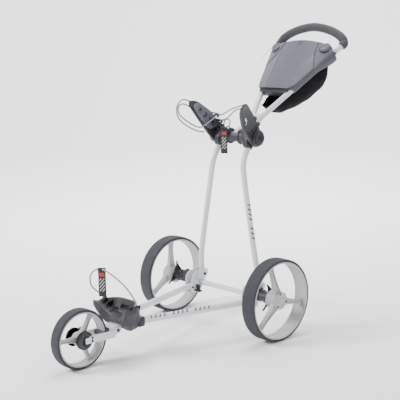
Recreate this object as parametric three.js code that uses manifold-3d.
// Three-wheel folding golf push cart. Millimetres, +Z up, travel direction -Y, +X to the left of
// the person who pushes. The group's origin is on the ground below the middle of the cart.
import * as THREE from 'three';
import { mergeVertices } from 'three/addons/utils/BufferGeometryUtils.js';
import { ConvexGeometry } from 'three/addons/geometries/ConvexGeometry.js';
import Module from 'manifold-3d';

const wasm = await Module();
wasm.setup();

// ---- driving dimensions ----
const gap = 0.4;                  // clearance between touching pieces
const running = 0.6;              // clearance of a piece that turns in or on another
const wheelbase = 648;            // rear axle to front axle
const track = 534;                // between the middle planes of the rear wheels

const rearWheel = { radius: 145, rim: 136, barrel: 131, width: 54, hub: 33, spoke: 20, cap: 31, star: 58 };
const frontWheel = { radius: 99, rim: 90.5, barrel: 86, width: 40, hub: 22, spoke: 15, star: 40 };
const starThickness = 4;
const hubRecess = 6;              // from a rim's outer edge in to its hub
const axleRadius = 6;
const housingRadius = 21;

const bracketX = 147;             // middle plane of a rear bracket
const bracketPlate = 3;
const pivotY = 40;                // fold axis of the uprights
const pivotZ = 160;
const boltRadius = 4;

const forkPivotY = frontWheel.radius + 41 - wheelbase;  // fold axis of the fork, clear of its wheel
const forkPivotZ = 100;
const lowerTube = { radius: 11.5, bore: 9.7, z: 119, frontX: 27, frontY: forkPivotY + 16, rearY: 14 };
const bracketInside = 2 * (lowerTube.radius + 2.5);  // clear width between a rear bracket's plates
const uprightTube = { radius: 10.5, bore: 8.9, footZ: 128 };
const crossTube = { radius: 10, bore: 8.4, y: 20, z: 132 };
const handleTube = { radius: 10, bore: 8.4 };

const crossbarY = 85;             // upper joint, also the fold axis of the handle
const crossbarZ = 688;
const crossbarRadius = 25;
const crossbarHalf = 92;
const uprightTopX = 72;

const handleSlope = THREE.MathUtils.degToRad(40.1);
const handlePlane = -24;          // height of the tubes over the fold axis, square to the handle
const yokeStart = 101;            // distance of the tubes' lower ends from the fold axis
const gripStart = 519;            // distance of their upper ends
const handleLowX = 14;
const handleHighX = 159;
const gripRadius = 16.5;
const gripReach = 578;            // distance of the middle of the grip
const gripRise = 14;

const forkArm = { inside: 27.2, thickness: 5, height: 25, rearY: forkPivotY - 16, z: 93 };

const cordRadius = 2.4;
const tubeSides = 10;             // flats on a bent tube

// ---- colours ----
const paint = (color, roughness, metalness = 0) => new THREE.MeshStandardMaterial({ color, roughness, metalness });
const white = paint(0xe9e9ec, 0.35);
const charcoal = paint(0x44444c, 0.6);
const black = paint(0x1b1b1e, 0.6);
const rimGrey = paint(0xb9b8b6, 0.5);
const tyreGrey = paint(0x3d3e46, 0.85);
const consoleGrey = paint(0x84858e, 0.4);
const steel = paint(0xb4b6b8, 0.35, 0.9);
const foam = paint(0x4a4a50, 0.9);
const netBlack = paint(0x111113, 0.95);
const cordGrey = paint(0xa9aaac, 0.7);

// ---- helpers ----
const v = (x, y, z) => new THREE.Vector3(x, y, z);
const bodies = new THREE.Group();

function place(name, geometry, material, parent = bodies) {
  const mesh = new THREE.Mesh(geometry, material);
  mesh.name = name;
  parent.add(mesh);
  return mesh;
}

function solid(geometry) {
  let plain = geometry.clone();
  plain.deleteAttribute('normal');
  plain.deleteAttribute('uv');
  plain = mergeVertices(plain, 1e-4);
  const vertProperties = new Float32Array(plain.attributes.position.array);
  const triVerts = new Uint32Array(plain.index.array);
  return new wasm.Manifold(new wasm.Mesh({ numProp: 3, vertProperties, triVerts }));
}

function geometryOf(manifold) {
  const mesh = manifold.getMesh();
  const geometry = new THREE.BufferGeometry();
  geometry.setAttribute('position', new THREE.BufferAttribute(new Float32Array(mesh.vertProperties), 3));
  geometry.setIndex(new THREE.BufferAttribute(new Uint32Array(mesh.triVerts), 1));
  geometry.computeVertexNormals();
  return geometry;
}

// Joins geometries, then cuts others from the result.
function shaped(joined, cut = []) {
  let result = joined.map(solid).reduce((a, b) => a.add(b));
  for (const geometry of cut) {
    result = result.subtract(solid(geometry));
  }
  return geometryOf(result);
}

function rod(from, to, radius, sides = 20, endRadius = radius) {
  const axis = to.clone().sub(from);
  const geometry = new THREE.CylinderGeometry(endRadius, radius, axis.length(), sides);
  const turn = new THREE.Quaternion().setFromUnitVectors(v(0, 1, 0), axis.clone().normalize());
  geometry.applyQuaternion(turn);
  const middle = from.clone().add(to).multiplyScalar(0.5);
  geometry.translate(middle.x, middle.y, middle.z);
  return geometry;
}

const rodX = (x0, x1, y, z, radius, sides = 24) => rod(v(x0, y, z), v(x1, y, z), radius, sides);

function block(x0, x1, y0, y1, z0, z1) {
  const geometry = new THREE.BoxGeometry(x1 - x0, y1 - y0, z1 - z0);
  geometry.translate((x0 + x1) / 2, (y0 + y1) / 2, (z0 + z1) / 2);
  return geometry;
}

// A round tube or bar swept along a curve.
function sweep(curve, radius, steps, sides = 14, bore = 0) {
  const section = new THREE.Shape();
  section.absarc(0, 0, radius, 0, 2 * Math.PI, false);
  if (bore > 0) {
    const hole = new THREE.Path();
    hole.absarc(0, 0, bore, 0, 2 * Math.PI, true);
    section.holes.push(hole);
  }
  return new THREE.ExtrudeGeometry(section, { extrudePath: curve, steps, curveSegments: sides / 2 });
}

function hollowRod(from, to, radius, bore, sides = 16) {
  return sweep(new THREE.LineCurve3(from, to), radius, 1, sides, bore);
}

// A flat plate square to X, from an outline of [y, z] points or a Shape.
function plate(outline, x0, x1, holes = []) {
  const shape = outline instanceof THREE.Shape ? outline : new THREE.Shape(outline.map(([y, z]) => new THREE.Vector2(y, z)));
  for (const [y, z, r] of holes) {
    const hole = new THREE.Path();
    hole.absarc(y, z, r, 0, 2 * Math.PI, true);
    shape.holes.push(hole);
  }
  const geometry = new THREE.ExtrudeGeometry(shape, { depth: x1 - x0, bevelEnabled: false, curveSegments: 16 });
  geometry.rotateX(Math.PI / 2);
  geometry.rotateZ(Math.PI / 2);
  geometry.translate(x0, 0, 0);
  return geometry;
}

// The convex outline of circles [y, z, r], as points: what a plate rounded about its bolts looks like.
function rounded(circles, sides = 14) {
  const points = [];
  for (const [y, z, r] of circles) {
    for (let i = 0; i < sides; i++) {
      const a = (2 * Math.PI * i) / sides;
      points.push([y + r * Math.cos(a), z + r * Math.sin(a)]);
    }
  }
  points.sort((a, b) => a[0] - b[0] || a[1] - b[1]);
  const turn = (o, a, b) => (a[0] - o[0]) * (b[1] - o[1]) - (a[1] - o[1]) * (b[0] - o[0]);
  const chain = (list) => {
    const hull = [];
    for (const p of list) {
      while (hull.length > 1 && turn(hull[hull.length - 2], hull[hull.length - 1], p) <= 1e-6) {
        hull.pop();
      }
      hull.push(p);
    }
    hull.pop();
    return hull;
  };
  return [...chain(points), ...chain([...points].reverse())];
}

// A ring turned about the X axis, from [radius, x] points, with a flat and not an edge at the bottom.
function turned(profile, segments) {
  const closed = [...profile, profile[0]].map(([r, x]) => new THREE.Vector2(r, x));
  const geometry = new THREE.LatheGeometry(closed, segments);
  geometry.rotateZ(-Math.PI / 2);
  geometry.rotateX(Math.PI / segments);
  return geometry;
}

// A round cap turned about the X axis, from [radius, height] points. side is +1 where it faces +X.
function domed(profile, side, segments = 28) {
  const geometry = new THREE.LatheGeometry(profile.map(([r, x]) => new THREE.Vector2(r, x)), segments);
  geometry.rotateZ(-Math.PI / 2);
  geometry.scale(side, 1, 1);
  if (side < 0) {
    flip(geometry);
  }
  return geometry;
}

// A closed skin over rings of points, with flat ends; it is turned the right way round by its volume.
function loft(rings) {
  const count = rings[0].length;
  const positions = rings.flat().flatMap((p) => [p.x, p.y, p.z]);
  const index = [];
  for (let i = 0; i + 1 < rings.length; i++) {
    for (let j = 0; j < count; j++) {
      const [a, b] = [i * count + j, i * count + ((j + 1) % count)];
      index.push(a, b, b + count, a, b + count, a + count);
    }
  }
  for (const [first, order] of [[0, 1], [(rings.length - 1) * count, -1]]) {
    const middle = new THREE.Vector3();
    rings[first / count].forEach((p) => middle.addScaledVector(p, 1 / count));
    const centre = positions.length / 3;
    positions.push(middle.x, middle.y, middle.z);
    for (let j = 0; j < count; j++) {
      const [a, b] = [first + j, first + ((j + 1) % count)];
      index.push(...(order > 0 ? [centre, b, a] : [centre, a, b]));
    }
  }
  const geometry = new THREE.BufferGeometry();
  geometry.setAttribute('position', new THREE.Float32BufferAttribute(positions, 3));
  geometry.setIndex(index);
  if (volumeOf(geometry) < 0) {
    flip(geometry);
  }
  return geometry;
}

function volumeOf(geometry) {
  const p = geometry.attributes.position;
  const i = geometry.index.array;
  let sum = 0;
  for (let k = 0; k < i.length; k += 3) {
    const [a, b, c] = [0, 1, 2].map((n) => new THREE.Vector3().fromBufferAttribute(p, i[k + n]));
    sum += a.dot(b.cross(c)) / 6;
  }
  return sum;
}

function flip(geometry) {
  const i = geometry.index.array;
  for (let k = 0; k < i.length; k += 3) {
    [i[k], i[k + 1]] = [i[k + 1], i[k]];
  }
}

// ---- wheels ----
// Three broad arms, one along each spoke.
function starOutline(size, phase) {
  const root = 0.72 * size.hub;
  const armHalfAngle = 0.16;
  const shoulderAngle = 0.55;
  const corners = [];
  for (let i = 0; i < 3; i++) {
    const a = THREE.MathUtils.degToRad(phase + 120 * i);
    corners.push([size.star, a - armHalfAngle], [size.star + 2, a], [size.star, a + armHalfAngle]);
    corners.push([1.25 * root, a + shoulderAngle], [root, a + Math.PI / 3]);
    corners.push([1.25 * root, a + 2 * Math.PI / 3 - shoulderAngle]);
  }
  return corners.map(([r, angle]) => [r * Math.cos(angle), r * Math.sin(angle)]);
}

// Tyre, rim with three spokes, and star plate, about the X axis. side is +1 where the outer face is +X.
// phase is the angle of the first spoke, in degrees from +Y towards +Z.
function wheel(name, size, middle, side, phase, segments) {
  const group = new THREE.Group();
  group.position.copy(middle);
  bodies.add(group);
  const half = size.width / 2;
  const shoulder = 5;
  const crown = 1.2;
  const inner = size.rim + gap;
  place(`${name}_tyre`, turned([
    [inner, -half], [size.radius - shoulder, -half], [size.radius - crown, -half + shoulder],
    [size.radius, -half + 2 * shoulder], [size.radius, half - 2 * shoulder],
    [size.radius - crown, half - shoulder], [size.radius - shoulder, half], [inner, half],
  ], segments), tyreGrey, group);

  const lip = 2;
  const barrel = turned([
    [size.barrel, -half + lip], [size.rim, -half + lip], [size.rim, half - lip], [size.barrel, half - lip],
  ], segments);
  const hub = rodX(side * (-half + starThickness + 2 * gap), side * (half - hubRecess), 0, 0, size.hub, 28);
  const spokes = [0, 1, 2].map((i) => {
    const arm = new ConvexGeometry([-1, 1].flatMap((a) => [-1, 1].flatMap((b) => [
      v(side * (a * size.spoke * 0.55 + 4), b * size.spoke * 0.75, 0),
      v(side * (a * size.spoke * 0.5), b * size.spoke * 0.42, size.barrel + 1.5),
    ])));
    return arm.rotateX(THREE.MathUtils.degToRad(phase + 120 * i - 90));
  });
  const bore = rodX(-half, half, 0, 0, axleRadius + running, 24);
  place(`${name}_rim`, shaped([barrel, hub, ...spokes], [bore]), rimGrey, group);

  const starX = side > 0 ? [-half, -half + starThickness] : [half - starThickness, half];
  const starHole = [0, 0, axleRadius + running];
  place(`${name}_star_plate`, plate(starOutline(size, phase), ...starX, [starHole]), black, group);
  return group;
}

const button = { radius: 8, inboard: 18, proud: 4, deep: 7, pad: 32, padHalf: 14, padRise: 6, travel: 8 };
const bracketFace = bracketX + bracketInside / 2 + bracketPlate;
const bracketBack = bracketX - bracketInside / 2 - bracketPlate;
for (const [name, side, phase] of [['rear_left', 1, 105], ['rear_right', -1, 92]]) {
  const group = wheel(name, rearWheel, v(side * track / 2, 0, rearWheel.radius), side, phase, 48);
  const half = rearWheel.width / 2;
  const cap = domed([[0, 0], [rearWheel.cap, 0], [rearWheel.cap, 3], [rearWheel.cap - 4, 5], [0, 5.5]], side);
  cap.translate(side * (half - hubRecess + gap), 0, 0);
  place(`${name}_hub_cap`, cap, rimGrey, group);

  // stub axle with a hexagon head behind the bracket
  const headX = bracketBack - gap;
  const headThickness = 4;
  place(`${name}_axle`, shaped([
    rodX(side * headX, side * (track / 2 + half - hubRecess - 1), 0, rearWheel.radius, axleRadius, 20),
    rodX(side * (headX - headThickness), side * headX, 0, rearWheel.radius, 1.6 * axleRadius, 6),
  ]), steel);

  // axle housing and the wheel release button on top of it
  const from = bracketFace + gap;
  const to = track / 2 - half - running;
  const buttonX = side * (from + button.inboard);
  const top = rearWheel.radius + housingRadius + button.padRise;
  const padEnds = [side * from, side * (from + button.pad)].sort((p, q) => p - q);
  place(`${name}_axle_housing`, shaped([
    rodX(side * from, side * to, 0, rearWheel.radius, housingRadius, 28),
    block(...padEnds, -button.padHalf, button.padHalf, rearWheel.radius + 12, top),
  ], [
    rodX(side * (from - 1), side * (to + 1), 0, rearWheel.radius, axleRadius + gap, 20),
    rod(v(buttonX, 0, top - button.deep - button.travel), v(buttonX, 0, top + 9), button.radius + running, 20),
  ]), charcoal);
  place(`${name}_release_button`,
    rod(v(buttonX, 0, top - button.deep), v(buttonX, 0, top + button.proud), button.radius, 20), black);
}

const frontY = -wheelbase;
wheel('front', frontWheel, v(0, frontY, frontWheel.radius), 1, 56, 40);

// ---- rear brackets, lower tubes and cross tube ----
for (const [name, side] of [['left', 1], ['right', -1]]) {
  const outline = () => rounded([
    [pivotY, pivotZ + 5, 17], [2, rearWheel.radius + 1, 31], [-20, 112, 14], [8, 108, 12],
  ]);
  const inside = bracketX - bracketInside / 2;
  const outside = bracketX + bracketInside / 2;
  const web = block(inside - 0.5, outside + 0.5, -26, 24, 94, 97);
  const ends = [inside - bracketPlate, inside, outside, outside + bracketPlate].map((x) => side * x);
  const plateAt = (p, q) => plate(outline(), Math.min(p, q), Math.max(p, q));
  if (side < 0) {
    web.translate(-2 * bracketX, 0, 0);
  }
  place(`rear_bracket_${name}`, shaped([plateAt(ends[0], ends[1]), plateAt(ends[2], ends[3]), web], [
    rodX(side * (inside - 10), side * (outside + 10), 0, rearWheel.radius, axleRadius + gap, 20),
    rodX(side * (inside - 10), side * (outside + 10), pivotY, pivotZ, boltRadius + gap, 16),
    rodX(side * (inside - 10), side * (outside + 10), -22, lowerTube.z, boltRadius + gap, 16),
  ]), white);

  const path = new THREE.CurvePath();
  const bend = v(side * bracketX, -42, lowerTube.z);
  const front = v(side * lowerTube.frontX, lowerTube.frontY, lowerTube.z);
  const beforeBend = bend.clone().lerp(front, 0.09);
  const afterBend = v(bend.x, bend.y + 26, bend.z);
  path.add(new THREE.LineCurve3(front, beforeBend));
  path.add(new THREE.QuadraticBezierCurve3(beforeBend, bend, afterBend));
  path.add(new THREE.LineCurve3(afterBend, v(bend.x, lowerTube.rearY, bend.z)));
  const tube = sweep(path, lowerTube.radius, 10, tubeSides, lowerTube.bore);
  place(`lower_tube_${name}`, shaped([tube], [
    rodX(side * (bracketX - 30), side * (bracketX + 30), -22, lowerTube.z, boltRadius + gap, 16),
    rodX(side * (bracketX - 20), side * (bracketX + 20), 0, rearWheel.radius, axleRadius + gap, 16),
  ]), white);

  const bolt = (label, y, z) => {
    const from = side * (bracketBack - gap);
    const to = side * (bracketFace + gap);
    place(label, shaped([
      rodX(from, to, y, z, boltRadius, 16),
      rodX(from - side * 3.5, from, y, z, 7, 16),
      rodX(to, to + side * 3.5, y, z, 7, 6),
    ]), black);
  };
  bolt(`upright_hinge_bolt_${name}`, pivotY, pivotZ);
}
const crossEnd = bracketBack - gap;
place('rear_cross_tube', hollowRod(v(-crossEnd, crossTube.y, crossTube.z), v(crossEnd, crossTube.y, crossTube.z),
  crossTube.radius, crossTube.bore), white);

// ---- uprights ----
const uprightPaths = {};
const uprightSteps = 16;
for (const [name, side] of [['left', 1], ['right', -1]]) {
  const curve = new THREE.CatmullRomCurve3([
    v(side * bracketX, pivotY, uprightTube.footZ), v(side * bracketX, pivotY, 170),
    v(side * (bracketX - 1.5), pivotY - 1, 205), v(side * 141, 35.5, 240), v(side * 126.5, 34, 320),
    v(side * 105.5, 35, 430), v(side * 84, 37, 545), v(side * 77, 40, 590), v(side * 74, 51, 622),
    v(side * uprightTopX, 70, 652), v(side * uprightTopX, 80, 666),
  ], false, 'centripetal');
  uprightPaths[name] = curve;
  const saddle = rodX(side * 40, side * 110, crossbarY, crossbarZ, crossbarRadius + gap, 36);
  place(`upright_${name}`, shaped([sweep(curve, uprightTube.radius, uprightSteps, tubeSides, uprightTube.bore)], [
    saddle, rodX(side * (bracketX - 20), side * (bracketX + 20), pivotY, pivotZ, boltRadius + gap, 16),
  ]), white);
}

// Cord guide: an arch that stands on a flat or round face, open below.
function eye(middle, radius, thick) {
  const curve = new THREE.CatmullRomCurve3([-100, -60, -20, 20, 60, 100].map((degrees) => {
    const a = THREE.MathUtils.degToRad(90 + degrees);
    return v(middle.x + radius * Math.cos(a), middle.y, middle.z + radius * Math.sin(a));
  }));
  return sweep(curve, thick, 8, 6);
}

// ---- upper bag bracket ----
// Crossbar with a sleeve over each upright and an open back at the middle, where the knuckle turns.
const knuckleHalf = 24;
const knuckleRadius = 14;
const pinRadius = 5;
const sleeveRadius = 14.4;
const capFace = crossbarHalf + 13;
const capRadius = crossbarRadius + 3;
const pinEnd = crossbarHalf + 10;
const sleeves = ['left', 'right'].map((name) => {
  const top = uprightPaths[name].getPointAt(1);
  const along = uprightPaths[name].getTangentAt(1);
  const from = top.clone().addScaledVector(along, -17);
  return rod(from, top.clone().addScaledVector(along, 4), sleeveRadius, 20);
});
const sockets = ['left', 'right'].map((name) => (
  sweep(uprightPaths[name], uprightTube.radius + gap, uprightSteps, tubeSides)
));
place('upper_crossbar', shaped([
  rodX(-crossbarHalf, crossbarHalf, crossbarY, crossbarZ, crossbarRadius, 36), ...sleeves,
  eye(v(-40, crossbarY, crossbarZ + crossbarRadius), 8, 2.6),
], [
  ...sockets,
  block(-knuckleHalf - running, knuckleHalf + running, crossbarY - 18, crossbarY + 40, crossbarZ - 40,
    crossbarZ + 40),
  rodX(-pinEnd, pinEnd, crossbarY, crossbarZ, pinRadius + gap, 20),
]), charcoal);
place('handle_hinge_pin', rodX(-pinEnd, pinEnd, crossbarY, crossbarZ, pinRadius, 20), steel);

// wings that hold the bag, leaning forward from the ends of the crossbar
const wingLean = THREE.MathUtils.degToRad(39.7);
const wingFrame = new THREE.Group();
wingFrame.position.set(0, crossbarY, crossbarZ);
wingFrame.rotation.x = wingLean;
bodies.add(wingFrame);
// height, middle along the bag, half width, middle in X, half thickness
const wingSections = [
  [-capRadius - 2, 0, 16, 96, 7], [-capRadius + 6, 0, capRadius - 3, 96, 8.5], [0, 0, capRadius + 3, 96, 9],
  [28, 1, capRadius + 5, 99, 8.5], [60, 2, capRadius + 5, 103, 7.5],
  [90, 3, 31, 109, 7], [118, 3, 26, 117, 6.5], [140, 3, 21, 125, 6], [154, 2, 14, 131.5, 5.5], [161, 2, 7, 135, 4.5],
];
const padHalfThick = 5;
// height and half width; the rest follows the wing it is glued to
const padOutline = [[46, 20], [60, 26], [90, 25], [118, 20], [140, 13], [146, 9]];
function wingAt(height) {
  const i = wingSections.findIndex(([z], k) => k > 0 && z >= height);
  const [low, high] = [wingSections[i - 1], wingSections[i]];
  const t = (height - low[0]) / (high[0] - low[0]);
  return low.map((value, k) => value + (high[k] - value) * t);
}
const padSections = padOutline.map(([height, halfWidth]) => {
  const [, y, , x, halfThick] = wingAt(height);
  return [height, y, halfWidth, x - halfThick - gap - padHalfThick, padHalfThick];
});
function wingRing([z, y, halfWidth, x, halfThick], side) {
  const corner = Math.min(halfThick, halfWidth) * 0.8;
  const ring = [];
  for (const [sx, sy, start] of [[1, 1, 0], [-1, 1, 1], [-1, -1, 2], [1, -1, 3]]) {
    for (let i = 0; i < 3; i++) {
      const a = (start + i / 2) * Math.PI / 2;
      ring.push(v(
        side * (x + sx * (halfThick - corner) + corner * Math.cos(a)),
        y + sy * (halfWidth - corner) + corner * Math.sin(a), z,
      ));
    }
  }
  return ring;
}
const slotOutline = rounded([[-4, 66, 4.5], [2, 84, 4.5]]);
for (const [name, side] of [['left', 1], ['right', -1]]) {
  const across = (near, far) => [side * near, side * far].sort((p, q) => p - q);
  const wing = loft(wingSections.map((section) => wingRing(section, side)));
  const pad = loft(padSections.map((section) => wingRing(section, side)));
  const slot = () => plate(slotOutline, ...across(80, 130));
  const cordHook = eye(v(0, 0, 0), 9, 3).rotateX(-Math.PI / 2);
  cordHook.translate(side * 95, 33, 60);
  place(`wing_${name}`, shaped([wing, cordHook], [
    rodX(side * 70, side * 120, 0, 0, crossbarRadius + gap, 36), slot(),
    rodX(side * capFace, side * 130, 0, 0, capRadius + gap, 36),
    block(...across(60, 120), -15, 15, -45, -12),
  ]), charcoal, wingFrame);
  place(`wing_pad_${name}`, shaped([pad], [slot()]), charcoal, wingFrame);

  const cap = domed([
    [0, 0], [capRadius, 0], [capRadius, 6], [crossbarRadius - 3, 12], [9, 14], [9, 17], [0, 17],
  ], side);
  cap.translate(side * (capFace + gap), crossbarY, crossbarZ);
  place(`hinge_cap_${name}`, shaped([cap], [
    rodX(side * 90, side * (pinEnd + gap), crossbarY, crossbarZ, pinRadius + gap, 20),
  ]), charcoal);
}

// ---- handle ----
const handleFrame = new THREE.Group();
handleFrame.position.set(0, crossbarY, crossbarZ);
handleFrame.rotation.x = handleSlope;
bodies.add(handleFrame);
const tubeEnds = (side) => [
  v(side * handleLowX, yokeStart, handlePlane), v(side * handleHighX, gripStart, handlePlane),
];
for (const [name, side] of [['left', 1], ['right', -1]]) {
  place(`handle_tube_${name}`, hollowRod(...tubeEnds(side), handleTube.radius, handleTube.bore, 16), white,
    handleFrame);
}
const knuckle = rodX(-knuckleHalf, knuckleHalf, 0, 0, knuckleRadius, 28);
const neck = new ConvexGeometry([-1, 1].flatMap((s) => [
  v(s * 20, 6, 11), v(s * 20, 6, -11), v(s * 18, 60, -10), v(s * 18, 52, -38), v(s * 27, 92, -11),
  v(s * 27, 92, -37), v(s * 27, 128, -12), v(s * 27, 128, -36),
]));
place('handle_yoke', shaped([knuckle, neck], [
  rodX(-40, 40, 0, 0, pinRadius + running, 24),
  ...[1, -1].map((side) => {
    const [low, high] = tubeEnds(side);
    const along = high.clone().sub(low).normalize();
    return rod(low.clone().addScaledVector(along, -gap), high, handleTube.radius + gap, 20);
  }),
]), white, handleFrame);

// grip: a bow of foam over the tube ends
const gripPoints = [];
const gripSteps = 8;
for (let i = -gripSteps; i <= gripSteps; i++) {
  const a = (i / gripSteps) * Math.PI / 2;
  const x = Math.sign(a) * (handleHighX - 2) * Math.abs(Math.sin(a)) ** 1.2;
  const h = Math.cos(a) ** 1.2;
  const low = gripStart + 11;
  gripPoints.push(v(x, low + (gripReach - low) * h, handlePlane + (gripRise - handlePlane) * h));
}
const gripCurve = new THREE.CatmullRomCurve3(gripPoints, false, 'centripetal');
place('grip', sweep(gripCurve, gripRadius, 20, 14), foam, handleFrame);
// console: a frame clipped over the tubes, a domed lid on it, two shoulders beside the lid
const tray = { low: 254, high: 496, overhang: 13, under: -32, top: -9, wall: 2.6 };
const lidHalf = 110;
const lidThickness = 3.2;
const tubeX = (u) => handleLowX + ((handleHighX - handleLowX) * (u - yokeStart)) / (gripStart - yokeStart);
const trayHalf = (u) => tubeX(u) + tray.overhang;
const trayEnd = (x) => tray.high - 20 * (x / trayHalf(tray.high)) ** 2;
const handleRods = [1, -1].map((side) => {
  const [low, high] = tubeEnds(side);
  return rod(low, high, handleTube.radius + gap, 20);
});
const frameRing = (u, inset, low, high) => {
  const x = trayHalf(u) - inset;
  return [v(-x, u, low), v(x, u, low), v(x, u, high), v(-x, u, high)];
};
const cavityInset = tray.overhang + handleTube.radius + gap + tray.wall;
place('console_frame', shaped([
  loft([frameRing(tray.low, 0, tray.under + 6, tray.top), frameRing(tray.low + 8, 0, tray.under, tray.top),
    frameRing(tray.high - 22, 0, tray.under, tray.top), frameRing(tray.high - 6, 14, tray.under, tray.top)]),
], [
  loft([frameRing(tray.low + 9, cavityInset, tray.under - 9, tray.top + 9),
    frameRing(tray.high - 24, cavityInset, tray.under - 9, tray.top + 9)]),
  ...handleRods,
]), charcoal, handleFrame);

// Height of the console's outer surface over the tubes' plane, at a distance u along the handle.
function domeTop(x, u) {
  const along = (u - tray.low) / (tray.high - tray.low);
  const across = Math.min(Math.abs(x) / trayHalf(u), 1);
  const crown = 8 + 19 * along;
  return tray.top + gap + lidThickness + crown * (1 - across ** 2.2);
}
// A shell of even thickness below a surface top(a, b), both running from 0 to 1.
function panel(top, thickness, stepsA, stepsB) {
  const positions = [];
  const index = [];
  const row = stepsB + 1;
  const sheet = (stepsA + 1) * row;
  for (const drop of [0, thickness]) {
    for (let i = 0; i <= stepsA; i++) {
      for (let j = 0; j <= stepsB; j++) {
        const p = top(i / stepsA, j / stepsB);
        const floor = p.floor ?? p.point.z - drop;
        positions.push(p.point.x, p.point.y, drop ? floor : p.point.z);
      }
    }
  }
  const quad = (a, b, c, d) => index.push(a, b, c, a, c, d);
  for (let i = 0; i < stepsA; i++) {
    for (let j = 0; j < stepsB; j++) {
      const a = i * row + j;
      quad(a, a + 1, a + row + 1, a + row);
      quad(sheet + a, sheet + a + row, sheet + a + row + 1, sheet + a + 1);
    }
  }
  for (let i = 0; i < stepsA; i++) {
    const [a, b] = [i * row, i * row + stepsB];
    quad(a, a + row, sheet + a + row, sheet + a);
    quad(b, sheet + b, sheet + b + row, b + row);
  }
  for (let j = 0; j < stepsB; j++) {
    const [a, b] = [j, stepsA * row + j];
    quad(a, sheet + a, sheet + a + 1, a + 1);
    quad(b, b + 1, sheet + b + 1, sheet + b);
  }
  const geometry = new THREE.BufferGeometry();
  geometry.setAttribute('position', new THREE.Float32BufferAttribute(positions, 3));
  geometry.setIndex(index);
  if (volumeOf(geometry) < 0) {
    flip(geometry);
  }
  return geometry;
}
const lidTop = (a, b) => {
  const high = trayEnd((2 * b - 1) * lidHalf);
  const u = tray.low + gap + (high - tray.low - gap) * a;
  const half = Math.min(trayHalf(u), lidHalf);
  const x = (2 * b - 1) * half;
  const z = domeTop(x, u);
  return { point: v(x, u, z) };
};
const lidFloor = tray.top + gap;
const lidShape = panel(lidTop, lidThickness, 10, 12);
place('console_lid', shaped([lidShape]), consoleGrey, handleFrame);
for (const [name, side] of [['left', 1], ['right', -1]]) {
  const from = yokeStart + ((lidHalf - tray.overhang - handleLowX) * (gripStart - yokeStart))
    / (handleHighX - handleLowX) + 6;
  const shoulder = panel((a, b) => {
    const edge = trayEnd(lidHalf + (trayHalf(tray.high - 20) - lidHalf) * b);
    const u = from + (edge - from) * a;
    const x = lidHalf + gap + (trayHalf(u) - lidHalf - gap) * b;
    return { point: v(side * x, u, domeTop(x, u)), floor: lidFloor };
  }, 5, 6, 3);
  const pod = new THREE.SphereGeometry(1, 16, 8);
  pod.scale(15, 21, 9);
  pod.rotateZ(-side * 0.33);
  pod.translate(side * 129, 452, domeTop(129, 452) - 3);
  place(`console_shoulder_${name}`, shaped([shoulder, pod], [
    block(Math.min(0, side * (lidHalf + gap)), Math.max(0, side * (lidHalf + gap)), 0, 700, -99, 99),
    block(-300, 300, 0, 700, -99, lidFloor),
  ]), consoleGrey, handleFrame);
}
place('lid_hinge_pin', rodX(-58, 58, tray.low - 3.4, tray.top - 6, 2.2, 12), steel, handleFrame);
// net pocket: distance along the handle, top, bottom
const pocketSections = [
  [196, -26, -44], [200, -25.5, -72], [212, -25, -90], [245, -27, -107], [262, -33, -115], [310, -33, -134],
  [371, -33, -144], [404, -33, -142], [424, -33, -126], [436, -35, -98], [441, -44, -72],
];
function pocketRing([u, top, bottom], inset) {
  const half = tubeX(u) - handleTube.radius - 2 * gap - inset - 1.5;
  const ring = [];
  const sides = 16;
  for (let i = 0; i < sides; i++) {
    const a = (2 * Math.PI * i) / sides;
    const squareness = 0.62;
    const x = half * Math.sign(Math.cos(a)) * Math.abs(Math.cos(a)) ** squareness;
    const h = Math.sign(Math.sin(a)) * Math.abs(Math.sin(a)) ** squareness;
    const narrow = h < 0 ? 1 + 0.16 * h : 1;
    ring.push(v(x * narrow, u, (top + bottom) / 2 + ((top - bottom) / 2 - inset) * h));
  }
  return ring;
}
const pocketWall = 3;
const inner = pocketSections.filter(([u]) => u > 260 && u < 430).map((section) => pocketRing(section, pocketWall));
const mouth = loft([frameRing(268, cavityInset + 4, -60, -20), frameRing(412, cavityInset + 6, -60, -20)]);
place('net_pocket', shaped([loft(pocketSections.map((section) => pocketRing(section, 0)))], [
  loft(inner), mouth,
]), netBlack, handleFrame);

// ---- front fork ----
const axleZ = frontWheel.radius;
const arm = forkArm;
const armHalf = arm.height / 2;
const armOutline = rounded([[frontY, axleZ - 2, armHalf], [arm.rearY - armHalf * 0.5, arm.z, armHalf * 0.98]], 24);
for (const [name, side] of [['left', 1], ['right', -1]]) {
  const faces = [side * arm.inside, side * (arm.inside + arm.thickness)].sort((p, q) => p - q);
  place(`fork_arm_${name}`, plate(armOutline, ...faces, [[frontY, axleZ, axleRadius + gap]]), white);
  const hubCover = domed([[0, 0], [30, 0], [32, 3], [30, 7], [20, 11], [0, 13]], side);
  hubCover.translate(side * (arm.inside + arm.thickness + gap), frontY, axleZ);
  place(`fork_hub_cover_${name}`, shaped([hubCover], [
    rodX(-40, 40, frontY, axleZ, axleRadius + gap, 20),
  ]), charcoal);
}
const shoulderRadius = 11;
place('front_axle', shaped([
  rodX(-38, 38, frontY, axleZ, axleRadius, 20),
  rodX(frontWheel.width / 2 - 6 + running, arm.inside - gap, frontY, axleZ, shoulderRadius, 20),
  rodX(-arm.inside + gap, -frontWheel.width / 2 - running, frontY, axleZ, shoulderRadius, 20),
]), steel);
const forkBracket = {
  outside: 26.4, plate: 3, frontY: forkPivotY - 38, rearY: forkPivotY + 13.5, top: 115.5,
};
const blockNose = forkPivotY - 52;
const blockHalf = forkBracket.outside - forkBracket.plate - running;
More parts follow.
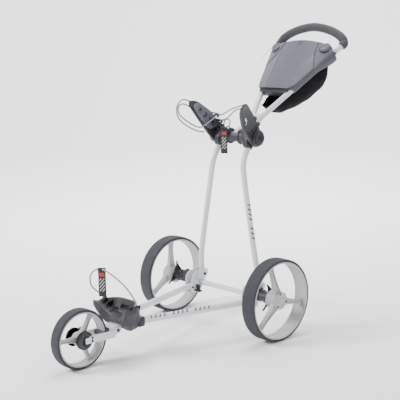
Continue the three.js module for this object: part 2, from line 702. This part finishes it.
place('fork_block', shaped([
  plate(rounded([[forkPivotY, forkPivotZ, 11], [blockNose - 2, 103, 8], [blockNose - 2, 91, 8]]),
    -blockHalf, blockHalf),
  plate(rounded([[blockNose, 102, 8], [blockNose, 92, 8], [blockNose + 4, 92, 8], [blockNose + 4, 102, 8]]),
    -arm.inside + gap, arm.inside - gap),
], [
  rodX(-40, 40, forkPivotY, forkPivotZ, boltRadius + gap, 16),
  rodX(-40, 40, frontY, axleZ, frontWheel.radius + 2.5, 40),
]), charcoal);
const cheek = () => rounded([[forkPivotY, forkPivotZ, 12], [forkBracket.frontY + 8, 108, 7]]);
const webLow = forkBracket.top - forkBracket.plate;
const flangeY = forkPivotY - 22;
const flangeZ = forkPivotZ + 4;
place('fork_bracket', shaped([
  plate(cheek(), forkBracket.outside - forkBracket.plate, forkBracket.outside),
  plate(cheek(), -forkBracket.outside, -forkBracket.outside + forkBracket.plate),
  block(-forkBracket.outside, forkBracket.outside, forkBracket.frontY + 4, forkBracket.rearY, webLow - 0.6,
    forkBracket.top),
  block(forkBracket.outside - forkBracket.plate, forkBracket.outside, flangeY, forkBracket.rearY, flangeZ,
    webLow + 1),
  block(-forkBracket.outside, -forkBracket.outside + forkBracket.plate, flangeY, forkBracket.rearY, flangeZ,
    webLow + 1),
], [
  rodX(-40, 40, forkPivotY, forkPivotZ, boltRadius + gap, 16),
]), white);
place('fork_hinge_bolt', rodX(-arm.inside + 0.5, arm.inside - 0.5, forkPivotY, forkPivotZ, boltRadius, 16), black);

// ---- lower bag bracket ----
// Sections square to X, each a closed outline that runs round the same corners: [distance behind the
// fork's fold axis, z].
const bracketSections = [
  [0, [[8, 117.9], [30, 117.9], [38, 90], [72, 94], [84, 106], [84, 136], [58, 188], [48, 190],
    [38, 148], [8, 128]]],
  [26, [[8, 117.9], [30, 117.9], [38, 88], [72, 92], [84, 104], [84, 136], [57, 188], [47, 190],
    [34, 149], [6, 128]]],
  [44, [[4, 104], [30, 92], [38, 92], [68, 98], [80, 108], [79, 138], [53, 187], [43, 189],
    [24, 152], [-1, 132]]],
  [60, [[-4, 122], [26, 112], [32, 112], [58, 116], [68, 122], [67, 146], [46, 185], [37, 187],
    [12, 159], [-6, 143]]],
  [76, [[-9, 152], [16, 146], [22, 146], [40, 148], [46, 152], [46, 162], [38, 181], [30, 184],
    [0, 169], [-11, 161]]],
  [86, [[-11, 167], [9, 165], [14, 165], [26, 166], [31, 168], [32, 171], [30, 177], [25, 179],
    [-6, 174], [-12, 171]]],
];
const bracketRings = [...bracketSections].reverse().map(([x, points]) => points.map(([y, z]) => v(x, forkPivotY + y, z)));
bracketRings.push(...bracketSections.slice(1).map(([x, points]) => points.map(([y, z]) => v(-x, forkPivotY + y, z))));
const tubeSocket = (side) => {
  const front = v(side * lowerTube.frontX, lowerTube.frontY, lowerTube.z);
  const rear = v(side * bracketX, -42, lowerTube.z);
  const along = rear.clone().sub(front).normalize();
  return rod(front.clone().addScaledVector(along, -gap), front.clone().addScaledVector(along, 120),
    lowerTube.radius + gap, 20);
};
place('lower_bracket', shaped([loft(bracketRings)], [
  tubeSocket(1), tubeSocket(-1),
  block(-forkBracket.outside - gap, forkBracket.outside + gap, blockNose, forkBracket.rearY + 2 * gap, 60,
    forkBracket.top + gap),
  plate(rounded([[forkPivotY + 11, 151, 5], [forkPivotY + 38, 136, 5]]), -38, 38),
]), charcoal);

// ---- elastic cords and their pull tags ----
// Lays a cord along its points and returns the channel that clears it.
function cord(name, points, steps) {
  const curve = new THREE.CatmullRomCurve3(points.map(([x, y, z]) => v(x, y, z)), false, 'centripetal');
  place(name, sweep(curve, cordRadius, steps, 8), cordGrey);
  return sweep(curve, cordRadius + gap, steps, 8);
}
const lowerChannel = cord('elastic_cord_lower', [
  [80, -478, 186], [84, -479, 190], [96, -486, 200], [107, -497, 212], [110, -507, 224], [106, -516, 242],
  [92, -526, 264], [69, -535, 284], [42, -542, 299], [17, -546, 308], [0, -547, 311], [-17, -546, 308],
  [-42, -542, 299], [-69, -535, 284], [-92, -526, 264], [-106, -516, 242], [-110, -507, 224],
  [-107, -497, 212], [-96, -486, 200], [-84, -479, 190], [-80, -478, 186],
], 40);
cord('elastic_cord_outer', [
  [123.6, -8, 811], [112, -5, 809], [80, 8, 803], [15, 36, 786], [-40, 66, 770], [-84, 90, 760],
  [-104, 90, 764], [-119, 66, 772], [-128, 38, 784], [-136, 10, 800], [-144, -13, 814], [-146, -30, 821],
  [-145, -50, 820], [-143, -67, 808], [-141, -77, 788], [-136, -77, 766], [-130, -66, 746],
  [-122, -42, 727], [-113, -16, 712], [-104, 6, 704], [-100, 20, 702],
], 44);
cord('elastic_cord_inner', [
  [123.4, -19, 801], [110, -16, 799], [75, -4, 787], [25, 18, 762], [-30, 52, 750], [-72, 86, 741],
  [-100, 98, 742], [-118, 74, 748], [-126, 42, 764], [-133, 8, 782], [-139, -22, 798], [-141, -42, 806],
  [-140, -62, 803], [-138, -72, 790], [-135, -70, 772], [-130, -56, 756], [-122, -32, 738],
  [-112, -8, 723], [-98, 0, 721], [-85, 12, 730], [-78, 34, 744], [-77, 52, 753],
], 44);
const pullChannel = cord('elastic_cord_pull', [
  [-76, 97, 713], [-76, 98, 724], [-74, 99, 738], [-66, 99, 744], [-50, 97, 744], [-36, 90, 738],
  [-28, 78, 728], [-25, 66, 722], [-24, 56, 720], [-24, 48, 719],
], 14);

// pull tags of doubled webbing, each looped over its cord
const tag = { width: 25, length: 92, thick: 4, loop: 5.6, turn: THREE.MathUtils.degToRad(40) };
function pullTag(name, top, channel) {
  const body = block(-tag.width / 2, tag.width / 2, -tag.thick / 2, tag.thick / 2, -tag.length, 0);
  const wrap = rodX(-tag.width / 2, tag.width / 2, 0, 0, tag.loop, 16);
  for (const geometry of [body, wrap]) {
    geometry.rotateZ(tag.turn);
    geometry.translate(top.x, top.y, top.z);
  }
  place(name, shaped([body, wrap], [channel]), black);
}
pullTag('pull_tag_lower', v(0, -547, 311), lowerChannel);
pullTag('pull_tag_upper', v(-24, 44, 719), pullChannel);

// ---- parking brake pedal, on a stub inside the right rear bracket ----
const pedal = { y: -3, z: 121, length: 34, width: 18 };
const pedalX = -bracketX + bracketInside / 2 + bracketPlate + gap;
place('brake_pedal', shaped([
  rodX(pedalX, pedalX + pedal.width, pedal.y, pedal.z, 7, 20),
  block(pedalX + 2, pedalX + pedal.width, pedal.y - 4, pedal.y + 5, pedal.z - pedal.length * 0.5, pedal.z),
  block(pedalX + 2, pedalX + pedal.width + 12, pedal.y - 12, pedal.y + 5, pedal.z - pedal.length * 0.5 - 5,
    pedal.z - pedal.length * 0.5),
]), black);

// ---- origin: on the ground, below the middle of the whole cart ----
bodies.updateMatrixWorld(true);
const extent = new THREE.Box3().setFromObject(bodies, true);
bodies.position.set(0, -(extent.min.y + extent.max.y) / 2, -extent.min.z);

export default bodies;
